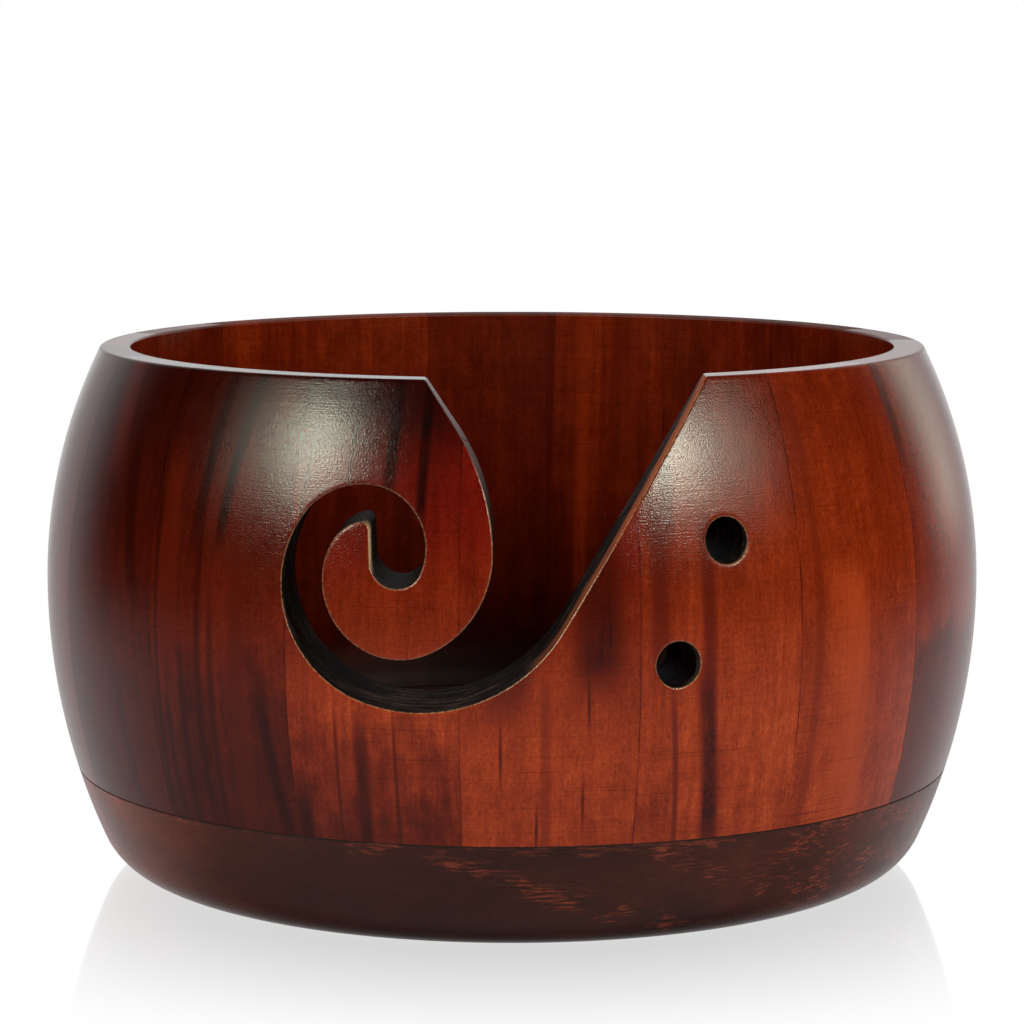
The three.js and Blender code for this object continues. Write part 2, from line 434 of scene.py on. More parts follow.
def front_wall():
    """The closed front of the wall, from beyond one joint to beyond another, three staves on."""
    bm = bmesh.new()
    skins = []
    for radius_at in (outer_radius, inner_radius):
        outlines = [front_outline(radius_at)]
        outlines += [hole_rim(angle, height, radius_at) for angle, height in HOLES]
        points, triangles = skin([named_by(line) for line in outlines])
        known = np.vstack(outlines)
        space = np.vstack([known, on_surface(points[len(known) :], radius_at)])
        verts = {int(i): bm.verts.new(space[i]) for i in np.unique(triangles)}
        for t in triangles:
            bm.faces.new([verts[int(i)] for i in t])
        skins.append(verts)
    outside, within = skins
    start, depth_rows = 0, 8
    for line in outlines:
        columns = []
        for i in range(start, start + len(line)):
            a, b = outside[i].co, within[i].co
            inner = [bm.verts.new(a.lerp(b, k / depth_rows)) for k in range(1, depth_rows)]
            columns.append([outside[i], *inner, within[i]])
        for one, two in zip(columns, columns[1:] + columns[:1]):
            for k in range(depth_rows):
                face = bm.faces.new((one[k], one[k + 1], two[k + 1], two[k]))
                height = sum(v.co.z for v in face.verts) / 4
                face.material_index = SAWN if height < BODY_HEIGHT - 1e-3 else TURNED
        start += len(line)
    bmesh.ops.recalc_face_normals(bm, faces=bm.faces)
    return bm


def round_edges(bm, offset, segments, wanted):
    """Rounds the sharp edges whose middle passes a test of angle, radius and height."""
    chosen = []
    for edge in bm.edges:
        if not edge.is_manifold or edge.calc_face_angle(0) < math.radians(40):
            continue
        middle = (edge.verts[0].co + edge.verts[1].co) / 2
        angle = math.degrees(math.atan2(middle.x, -middle.y))
        if wanted(angle, math.hypot(middle.x, middle.y), middle.z):
            chosen.append(edge)
    bmesh.ops.bevel(
        bm, geom=chosen, offset=offset, offset_type="OFFSET", segments=segments, profile=0.5,
        affect="EDGES", clamp_overlap=False, material=-1,
    )


def rounded_front():
    """The front of the wall with its rim, slot and holes sanded, and its seam edge eased."""
    def between(angle):
        return SHEET_LEFT + 0.5 < angle < SHEET_RIGHT - 0.5

    def sanded(angle, radius, z):
        return between(angle) and z > SEAM_HEIGHT + 1

    def seam(angle, radius, z):
        return between(angle) and z < SEAM_HEIGHT + 1 and radius > BORE_RADIUS + 3

    bm = front_wall()
    round_edges(bm, EDGE_ROUND, 4, sanded)
    round_edges(bm, SEAM_ROUND, 2, seam)
    return bm


# ---- base --------------------------------------------------------------------------------
def base_slab():
    """The turned base as one closed mesh."""
    lower_centre = BELLY_RADIUS - LOWER_ARC
    rise = BELLY_HEIGHT - FOOT_ARC
    foot_centre = lower_centre + math.sqrt((LOWER_ARC - FOOT_ARC) ** 2 - rise**2)
    tangent = math.degrees(math.atan2(-rise, foot_centre - lower_centre))
    foot = arc(foot_centre, FOOT_ARC, FOOT_ARC, -90, tangent, step=1.0)
    side = outer_points(foot[-1][1], SEAM_HEIGHT)[1:]
    highest = math.degrees(math.asin((SEAM_HEIGHT - FLOOR_HEIGHT - FLOOR_COVE) / FLOOR_COVE))
    cove = arc(BORE_RADIUS - FLOOR_COVE, FLOOR_HEIGHT + FLOOR_COVE, FLOOR_COVE, highest, -90, count=5)
    under = np.array([[r, 0.0] for r in np.linspace(0, foot[0][0], 12)[:-1]])
    floor = np.array([[r, FLOOR_HEIGHT] for r in np.linspace(cove[-1][0], 0, 12)[1:]])
    section = np.vstack([under, foot, side, cove, floor])
    top = len(under) + len(foot) + len(side) - 1
    section = rounded(section, {top: SEAM_ROUND})
    bm = bmesh.new()
    line = [bm.verts.new((r, 0, z)) for r, z in section]
    edges = [bm.edges.new(pair) for pair in zip(line, line[1:])]
    bmesh.ops.spin(
        bm, geom=line + edges, cent=(0, 0, 0), axis=(0, 0, 1), angle=math.tau, steps=216, use_merge=True,
        use_duplicate=False,
    )
    bmesh.ops.remove_doubles(bm, verts=bm.verts, dist=1e-4)
    bmesh.ops.recalc_face_normals(bm, faces=bm.faces)
    return bm


def base_boards():
    """The base cut into its three glued boards, as (CAD node, bmesh)."""
    slab = base_slab()
    edges = [None, *BOARD_JOINTS, None]
    boards = []
    for name, near, far in zip(("front", "middle", "back"), edges, edges[1:]):
        board = slab.copy()
        if near is not None:
            cut(board, Vector((0, near + JOINT_GAP / 2, 0)), Vector((0, -1, 0)))
        if far is not None:
            cut(board, Vector((0, far - JOINT_GAP / 2, 0)), Vector((0, 1, 0)))
        boards.append(("base_board_" + name, board))
    return boards


# ---- build -------------------------------------------------------------------------------
def wall_pieces():
    """Every stave piece as (CAD node, bmesh, stave number)."""
    section = stave_section()
    front = rounded_front()
    pieces = []
    for number in range(1, STAVES + 1):
        joint = FIRST_JOINT + (number - 1) * STAVE_ANGLE
        name = f"stave_{number:02d}"
        if number not in CUT_STAVES:
            pieces.append((name, swept_stave(section, joint), number))
            continue
        if joint > 180:
            joint -= 360
        parts = loose_parts(sector(front, joint, joint + STAVE_ANGLE))
        names = [name] if len(parts) == 1 else [name + "_lower", name + "_hook"]
        assert len(parts) == len(names), name + " falls into too many pieces"
        pieces += [(n, part, number) for n, part in zip(names, parts)]
    return pieces


# ---- shader graphs -----------------------------------------------------------------------
class Graph:
    """Adds nodes to a node tree, one call each, and hands back their output sockets."""

    def __init__(self, tree):
        self.tree = tree

    def node(self, kind, *values, **settings):
        """A new node with its settings, and its first inputs fed."""
        made = self.tree.nodes.new(kind)
        for key, value in settings.items():
            setattr(made, key, value)
        for socket, value in zip(made.inputs, values):
            self.feed(socket, value)
        return made

    def feed(self, socket, value):
        if isinstance(value, bpy.types.NodeSocket):
            self.tree.links.new(value, socket)
        else:
            socket.default_value = value

    def math(self, operation, *values, clamp=False):
        return self.node("ShaderNodeMath", *values, operation=operation, use_clamp=clamp).outputs[0]

    def add(self, first, *others):
        for other in others:
            first = self.math("ADD", first, other)
        return first

    def mul(self, first, *others):
        for other in others:
            first = self.math("MULTIPLY", first, other)
        return first

    def rest(self, share):
        """What a share leaves of 1."""
        return self.math("SUBTRACT", 1, share)

    def length(self, x, y):
        return self.math("SQRT", self.add(self.mul(x, x), self.mul(y, y)))

    def vector(self, x, y, z):
        return self.node("ShaderNodeCombineXYZ", x, y, z).outputs[0]

    def split(self, vector):
        return self.node("ShaderNodeSeparateXYZ", vector).outputs

    def noise(self, vector, scale, detail=2.0, roughness=0.5, distortion=0.0):
        """Noise, where scale is one number for each axis, per millimetre."""
        stretched = self.node("ShaderNodeVectorMath", vector, scale, operation="MULTIPLY")
        made = self.node("ShaderNodeTexNoise")
        inputs = {"Vector": stretched.outputs[0], "Scale": 1.0, "Detail": detail, "Roughness": roughness,
                  "Distortion": distortion}
        for name, value in inputs.items():
            self.feed(made.inputs[name], value)
        return made.outputs[0]

    def step(self, value, low, high, to_low=0.0, to_high=1.0):
        """Smoothly from to_low, where the value is low, to to_high, where it is high."""
        limits = (low, high, to_low, to_high)
        return self.node("ShaderNodeMapRange", value, *limits, interpolation_type="SMOOTHSTEP").outputs[0]

    def mix(self, factor, one, two):
        made = self.node("ShaderNodeMix", data_type="RGBA")
        self.feed(made.inputs[0], factor)
        for socket, value in ((made.inputs[6], one), (made.inputs[7], two)):
            self.feed(socket, value if isinstance(value, bpy.types.NodeSocket) else (*value, 1))
        return made.outputs[2]


def grey(value):
    return (value, value, value)


# ---- wood of the staves ------------------------------------------------------------------
TONE_SCALE = 1.8  # the figure's layers darken a board by about this much
STREAK_FADE = 10.0  # length over which a streak's end fades
SEED_STEP = 37.0  # moves each stave's noise away from the others'
LACQUER_IOR = 1.5
SAWN_IOR = 1.12  # the stained slot walls carry hardly any lacquer


def stave_centre(number):
    """The angle of a stave's middle, from the front towards the right, in degrees."""
    angle = FIRST_JOINT + (number - 0.5) * STAVE_ANGLE
    return angle - 360 if angle > 180 else angle


def board_axes(graph, number):
    """Coordinates in a stave's board, in millimetres: across it, outwards and up."""
    place = graph.node("ShaderNodeTexCoord").outputs["Object"]
    x, y, z = (graph.mul(axis, 1 / MM) for axis in graph.split(place))
    centre = math.radians(stave_centre(number))
    across = graph.add(graph.mul(x, math.cos(centre)), graph.mul(y, math.sin(centre)))
    out = graph.add(graph.mul(x, math.sin(centre)), graph.mul(y, -math.cos(centre)))
    return across, out, z


def streak_mask(graph, number, across, z, streak):
    """A dark or pale line in the figure, between two places given as angle and height."""
    (angle_1, z_1), (angle_2, z_2), width = streak[:3]
    centre = stave_centre(number)
    t_1 = float(outer_radius(z_1)) * math.sin(math.radians(angle_1 - centre))
    t_2 = float(outer_radius(z_2)) * math.sin(math.radians(angle_2 - centre))
    slope = (t_2 - t_1) / (z_2 - z_1)
    line = graph.add(graph.mul(z, slope), t_1 - slope * z_1)
    away = graph.math("ABSOLUTE", graph.math("SUBTRACT", across, line))
    low, high = min(z_1, z_2), max(z_1, z_2)
    core = graph.step(away, width * 0.25, width, 1.0, 0.0)
    fade = STREAK_FADE / 2
    ends = graph.mul(graph.step(z, low - fade, low + fade), graph.step(z, high - fade, high + fade, 1.0, 0.0))
    return graph.mul(core, ends)


def stained(graph, tone, green_share):
    """Colour of the stained wood from one number, its red: dark wood is red, pale wood is orange."""
    square = graph.mul(tone, tone)
    green = graph.add(graph.mul(tone, 0.048), graph.mul(square, 0.205))
    return graph.vector(tone, graph.mul(green, green_share), graph.mul(square, 0.05))


def centred(graph, value, size):
    """A noise that swings by half of size to both sides of zero."""
    return graph.mul(graph.add(value, -0.5), size)


def wood_noises(graph, number, look, across, out, z):
    """The layers of a board's figure. The grain runs up the board and sways a little."""
    seed = SEED_STEP * number
    wander = graph.noise(graph.vector(seed, graph.mul(out, 0.4), z), (1, 0.02, 0.018), 1.5)
    drift = centred(graph, wander, look["wander"])
    ripple = graph.noise(graph.vector(seed, across, z), (1, 0.2, 0.10), 2.0)
    grain_t = graph.add(across, drift, centred(graph, ripple, 1.6), seed)
    grain = graph.vector(grain_t, out, z)
    plain = graph.vector(graph.add(across, seed), out, z)
    return {
        "plain": plain,
        "broad": graph.noise(grain, (0.14, 0.06, 0.004), 2.0, 0.5),
        "bands": graph.noise(grain, (0.75, 0.35, 0.014), 3.0, 0.6),
        "fibre": graph.noise(grain, (3.0, 3.0, 0.22), 3.0, 0.65),
        "pores": graph.noise(grain, (4.0, 4.0, 0.35), 2.0, 0.5),
        "cloud": graph.noise(plain, (0.24, 0.24, 0.17), 3.0, 0.6),
        "mottle": graph.noise(plain, (1.7, 1.7, 1.4), 3.0, 0.7),
        "layers": graph.noise(plain, (0.11, 0.95, 0.16), 3.0, 0.65, 0.4),
        "lines": graph.noise(plain, (0.035, 0.035, 4.2), 2.0, 0.6),
        "peel": graph.noise(plain, (3.9, 3.9, 4.5), 1.0, 0.45),
        "turning": graph.noise(plain, (0.06, 0.06, 3.4), 2.0, 0.6),
    }


def tone_by_height(graph, look, height):
    """The board's tone at each height, from the stops of its look."""
    ramp = graph.node("ShaderNodeValToRGB")
    ramp.color_ramp.interpolation = "EASE"
    stops = ramp.color_ramp.elements
    while len(stops) < len(look["tones"]):
        stops.new(0.5)
    for stop, (at, tone) in zip(stops, look["tones"]):
        stop.position = at / 100
        stop.color = (*grey(tone * 4), 1)
    graph.feed(ramp.inputs[0], graph.mul(height, 0.01))
    return graph.mul(ramp.outputs[0], 0.25 * TONE_SCALE)


def figured_tone(graph, number, look, across, z, noises):
    """Tone by height, then by the layers of the figure, all in shares of the tone, then streaks."""
    ragged_z = graph.add(z, centred(graph, noises["cloud"], 16.0), centred(graph, noises["bands"], 6.0))
    tone = tone_by_height(graph, look, ragged_z)
    swing = graph.add(
        graph.mul(across, look["lean"] / 14),
        centred(graph, noises["broad"], 2.0 * look["bands"]),
        centred(graph, noises["bands"], 2.4 * look["bands"]),
        centred(graph, noises["fibre"], look["fibre"]),
        centred(graph, noises["cloud"], 0.9),
        centred(graph, noises["mottle"], 1.0),
    )
    tone = graph.mul(tone, graph.math("EXPONENT", swing))
    tone = graph.mul(tone, graph.step(noises["pores"], 0.60, 0.75, 1.0, 0.72))
    ragged = graph.add(
        centred(graph, noises["bands"], 0.9), centred(graph, noises["fibre"], 0.7),
        centred(graph, noises["mottle"], 0.7), centred(graph, noises["cloud"], 0.9),
    )
    for streak in look["streaks"]:
        mask = graph.mul(streak_mask(graph, number, across, z, streak), streak[3])
        mask = graph.math("ADD", mask, graph.mul(mask, ragged), clamp=True)
        tone = graph.add(graph.mul(tone, graph.rest(mask)), graph.mul(mask, streak[4]))
    darkest = graph.step(z, 30.0, 48.0, 0.50, 0.78)
    dark_lines = graph.step(noises["lines"], 0.57, 0.72, 1.0, darkest)
    return graph.mul(tone, dark_lines, graph.step(noises["lines"], 0.26, 0.42, 1.2, 1.0))


def glue_lines(graph, across, out, noises, joint):
    """What the dark glue line leaves of the tone along both joints; it comes and goes."""
    half = math.radians(STAVE_ANGLE / 2)
    sideways = graph.mul(graph.math("ABSOLUTE", across), math.cos(half))
    to_joint = graph.math("SUBTRACT", graph.mul(out, math.sin(half)), sideways)
    comes = graph.step(graph.noise(noises["plain"], (0.02, 0.02, 0.16), 2.0), 0.35, 0.65, 1.0, joint)
    return graph.add(1, graph.mul(graph.step(to_joint, 0.05, 0.25, 1.0, 0.0), graph.add(comes, -1)))


def depth_in_wall(graph, radius, z):
    """How far a place lies under the turned outside, in millimetres."""
    over_belly = graph.math("GREATER_THAN", z, BELLY_HEIGHT)
    reach = graph.add(graph.mul(over_belly, SHOULDER_ARC - LOWER_ARC), LOWER_ARC)
    climb = graph.add(z, -BELLY_HEIGHT)
    half_chord = graph.math("SQRT", graph.math("SUBTRACT", graph.mul(reach, reach), graph.mul(climb, climb)))
    surface = graph.add(graph.math("SUBTRACT", half_chord, reach), BELLY_RADIUS)
    return graph.math("SUBTRACT", surface, radius)


def beside(graph, value, middle, reach):
    """1 at a middle value, fading to 0 at reach on both sides of it."""
    away = graph.math("ABSOLUTE", graph.add(value, -middle))
    return graph.step(away, 0.4 * reach, reach, 1.0, 0.0)


def over_hook(graph, x, z):
    """1 on the side of the mouth over the hook, where the lacquer lies thick and smooth and the slot wall
    carries a painted sheen.
    """
    return graph.mul(graph.step(x, -4.0, 0.0, 1.0, 0.0), graph.step(z, 76, 92))


def sawn_colour(graph, x, z, depth, noises):
    """Slot and hole walls: stained nearly black, with grey layers that are a painted reflection, and pale
    where they were sanded, with painted light and shade on that pale wood.
    """
    # The grey layers are a painted reflection: the faint grey sheen of the sawn walls, put into their colour.
    tone = graph.step(noises["layers"], 0.44, 0.70, 0.004, 0.070)
    tone = graph.mul(tone, graph.step(noises["mottle"], 0.3, 0.7, 0.5, 1.3))
    tone = graph.mul(tone, graph.step(noises["cloud"], 0.3, 0.7, 0.4, 1.2))
    colour = graph.vector(tone, graph.mul(tone, 0.62), graph.mul(tone, 0.52))

    # The straight run of the mouth, which lies left of the holes: pale sanded wood near the front, brighter
    # higher up and fading deeper into the slot, which is painted light and shade.
    run = graph.mul(graph.step(graph.add(x, graph.mul(z, -0.3)), 4.5, 7.0, 1.0, 0.0), graph.step(x, 2.0, 5.0))
    sanded = graph.mul(run, graph.step(z, 44, 80, 0.35, 1.0), graph.step(depth, 3.4, 5.6, 1.0, 0.0))
    sanded = graph.mul(sanded, graph.step(noises["cloud"], 0.25, 0.6, 0.6, 1.0))
    colour = graph.mix(sanded, colour, (0.30, 0.070, 0.024))

    # Over the hook the wall turns pale grey-pink: a painted sheen, the lacquer's grazing reflection put into
    # the colour.
    lighter = graph.mul(over_hook(graph, x, z), graph.step(noises["layers"], 0.35, 0.6, 1.0, 0.45))
    colour = graph.mix(lighter, colour, (0.15, 0.115, 0.115))

    # The curl's blunt end.
    tip = graph.mul(beside(graph, x, CURL_TIP[0], 1.6), beside(graph, z, CURL_TIP[1], 5.0))
    tip = graph.mul(tip, graph.step(depth, 1.0, 5.0, 1.0, 0.0))
    return graph.mix(tip, colour, (0.55, 0.36, 0.22))


def worn_edges(graph, colour, x, z, depth, mottle):
    """Rubbed edges of slot and holes show the pale wood under the stain, but not near the rim."""
    worn = graph.mul(graph.step(depth, 0.01, 0.08), graph.step(depth, 0.16, 0.34, 1.0, 0.0))
    worn = graph.mul(worn, graph.step(z, BODY_HEIGHT - 1.5, BODY_HEIGHT - 0.8, 1.0, 0.0))
    worn = graph.mul(worn, graph.step(over_hook(graph, x, z), 0.2, 0.7, 1.0, 0.1))
    worn = graph.mul(worn, graph.step(mottle, 0.25, 0.70), 0.7)
    return graph.mix(worn, colour, (0.36, 0.18, 0.095))


def lacquer(graph, shader, roughness, *bumps):
    """Roughness, and relief from pairs of a noise and its height in millimetres."""
    graph.feed(shader.inputs["Roughness"], roughness)
    bump = graph.node("ShaderNodeBump")
    bump.inputs["Strength"].default_value = 1.0
    bump.inputs["Distance"].default_value = MM
    graph.feed(bump.inputs["Height"], graph.add(*(graph.mul(noise, height) for noise, height in bumps)))
    graph.feed(shader.inputs["Normal"], bump.outputs[0])


def sawn_faces(graph, shader, x, z, depth, noises):
    """Sets the finish of the slot and hole walls, and returns their colour."""
    shader.inputs["IOR"].default_value = SAWN_IOR
    rough = graph.add(0.5, graph.mul(noises["layers"], 0.2), graph.mul(over_hook(graph, x, z), -0.35))
    lacquer(graph, shader, rough, (noises["layers"], 0.25))
    return sawn_colour(graph, x, z, depth, noises)


def turned_faces(graph, shader, number, look, across, out, z, radius, noises):
    """Sets the finish of a stave's turned faces and its rim, and returns their colour."""
    tone = figured_tone(graph, number, look, across, z, noises)
    tone = graph.mul(tone, glue_lines(graph, across, out, noises, look["joint"]))
    # The outside is brightened by look["outside"]; on the far wall this takes off the painted shade that its
    # tones hold.
    outside = graph.mul(graph.step(radius, BORE_RADIUS + 1, BORE_RADIUS + 3),
                        graph.step(z, BODY_HEIGHT - 5.0, BODY_HEIGHT - 1.5, 1.0, 0.0))
    tone = graph.mul(tone, graph.add(1, graph.mul(outside, look["outside"] - 1)))
    low_inside = graph.mul(graph.step(radius, BORE_RADIUS + 0.3, BORE_RADIUS + 0.8, 1.0, 0.0),
                           graph.step(z, 22, 34, 1.0, 0.0))
    rim = graph.step(z, BODY_HEIGHT - 0.6, BODY_HEIGHT - 0.2, 0.0, look["rim_rough"])
    rough = graph.add(0.115, graph.mul(noises["fibre"], 0.05), graph.mul(noises["cloud"], 0.06),
                      graph.mul(low_inside, 0.5), rim)
    lacquer(graph, shader, rough, (noises["peel"], 0.035), (noises["turning"], 0.018),
            (noises["fibre"], 0.008))
    shader.inputs["IOR"].default_value = LACQUER_IOR
    return stained(graph, tone, graph.step(z, 60, 80, 1.0, look["crimson"]))


def wall_wood(number, look, sawn=False):
    """Lacquered, stained wood for one stave: its turned faces, or the sawn walls of slot and holes."""
    look = {**PLAIN_LOOK, **look}
    material = bpy.data.materials.new(f"wall_wood_{number:02d}" + ("_sawn" if sawn else ""))
    material.use_nodes = True
    graph = Graph(material.node_tree)
    shader = material.node_tree.nodes["Principled BSDF"]
    across, out, z = board_axes(graph, number)
    radius = graph.length(across, out)
    depth = depth_in_wall(graph, radius, z)
    noises = wood_noises(graph, number, look, across, out, z)
    centre = math.radians(stave_centre(number))
    x = graph.add(graph.mul(across, math.cos(centre)), graph.mul(out, math.sin(centre)))

    if sawn:
        colour = sawn_faces(graph, shader, x, z, depth, noises)
    else:
        colour = turned_faces(graph, shader, number, look, across, out, z, radius, noises)
    colour = worn_edges(graph, colour, x, z, depth, noises["mottle"])
    graph.feed(shader.inputs["Base Color"], colour)
    return material


# ---- wood of the base --------------------------------------------------------------------
BASE_BANDS = [  # where each slanting band meets the seam (x), its slope, half width and strength
    (-16.0, -0.37, 3.2, 0.8),
    (24.0, -0.60, 3.0, 0.75),
    (44.0, -0.5, 4.0, 0.9),
    (-18.0, 0.0, 1.6, 0.5),
]


def base_wood(name, seed):
    """Nearly black stained board, grain along X, with bands of lighter fibres."""
    material = bpy.data.materials.new("base_wood_" + name)
    material.use_nodes = True
    graph = Graph(material.node_tree)
    shader = material.node_tree.nodes["Principled BSDF"]
    place = graph.node("ShaderNodeTexCoord").outputs["Object"]
    x, y, z = (graph.mul(axis, 1 / MM) for axis in graph.split(place))
    grain = graph.vector(graph.add(x, seed), y, z)
    fibre = graph.noise(grain, (0.20, 0.6, 2.3), 3.0, 0.65)
    cloud = graph.noise(grain, (0.03, 0.05, 0.07), 2.0, 0.5)
    patch = graph.noise(grain, (0.12, 0.12, 0.22), 3.0, 0.6)
    mottle = graph.noise(grain, (1.1, 1.1, 1.3), 3.0, 0.65)
    sides = graph.add(graph.step(x, -20.0, -75.0, 0.0, 1.3), graph.step(x, -74.0, -88.0, 0.0, 0.9),
                      graph.step(x, 15.0, 65.0, 0.0, 0.75),
                      graph.step(x, -52.0, -68.0, 0.0, graph.step(z, 5.0, 12.0, 0.6, 0.0)))
    swing = graph.add(
        sides, centred(graph, cloud, 1.8), centred(graph, fibre, 0.7),
        centred(graph, mottle, 0.6), centred(graph, patch, 0.6),
    )
    tone = graph.mul(graph.math("EXPONENT", swing), 0.027)
    tone = graph.mul(tone, graph.step(z, 4.0, 15.0, 0.95, 1.3))

    # Where the growth layers run out through the turned side, pale fibres show in slanting bands.
    zone = graph.step(x, 38.0, 56.0, 0.0, 0.8)
    for start_x, slope, half_width, strength in BASE_BANDS:
        line = graph.add(graph.mul(graph.add(x, -start_x), slope), SEAM_HEIGHT)
        wavy = graph.add(graph.math("SUBTRACT", z, line), centred(graph, patch, 9.0))
        near = graph.step(graph.math("ABSOLUTE", wavy), half_width * 0.3, half_width, strength, 0.0)
        zone = graph.math("MAXIMUM", zone, near)
    within = graph.step(graph.length(x, y), BORE_RADIUS, BORE_RADIUS + 3.0, 1.0, 0.0)
    inside = graph.mul(within, graph.step(z, 15.0, 16.5))
    zone = graph.mul(zone, graph.rest(inside))
    flecks = graph.mul(graph.step(fibre, 0.48, 0.62), graph.step(patch, 0.42, 0.60), zone)
    tone = graph.add(tone, graph.mul(flecks, 0.17))
    seam = graph.step(z, SEAM_HEIGHT - 0.35, SEAM_HEIGHT - 0.12)
    tone = graph.mul(tone, graph.add(1, graph.mul(seam, -0.7)))
    colour = graph.vector(tone, graph.mul(tone, 0.14), graph.mul(tone, 0.045))
    graph.feed(shader.inputs["Base Color"], colour)
    peel = graph.noise(grain, (2.1, 2.1, 2.6), 1.5, 0.5)
    rough = graph.add(0.22, graph.mul(fibre, 0.1), graph.mul(inside, 0.4), graph.mul(seam, 0.5))
    lacquer(graph, shader, rough, (peel, 0.02), (fibre, 0.012))
    shader.inputs["IOR"].default_value = LACQUER_IOR
    return material


# ---- the figure of each board -------------------------------------------------------------
# tones: (height, tone) up the board     lean: how the tone changes towards the larger angle
# bands, fibre: contrast of the growth bands and of the fibre     wander: how far the grain sways
# joint: what the glue lines leave of the tone     crimson: share of orange left high on the board
# rim_rough: added to the roughness of the rim     outside: brightness of the outside, against tones that hold painted shade
# streaks: (angle, height) to (angle, height), half width, strength and tone
PLAIN_LOOK = dict(tones=((20, 0.14), (50, 0.12), (90, 0.06)), lean=0.0, bands=0.45, wander=3.0,
                  joint=0.42, crimson=1.0, fibre=0.6, rim_rough=0.04, outside=1.0, streaks=())
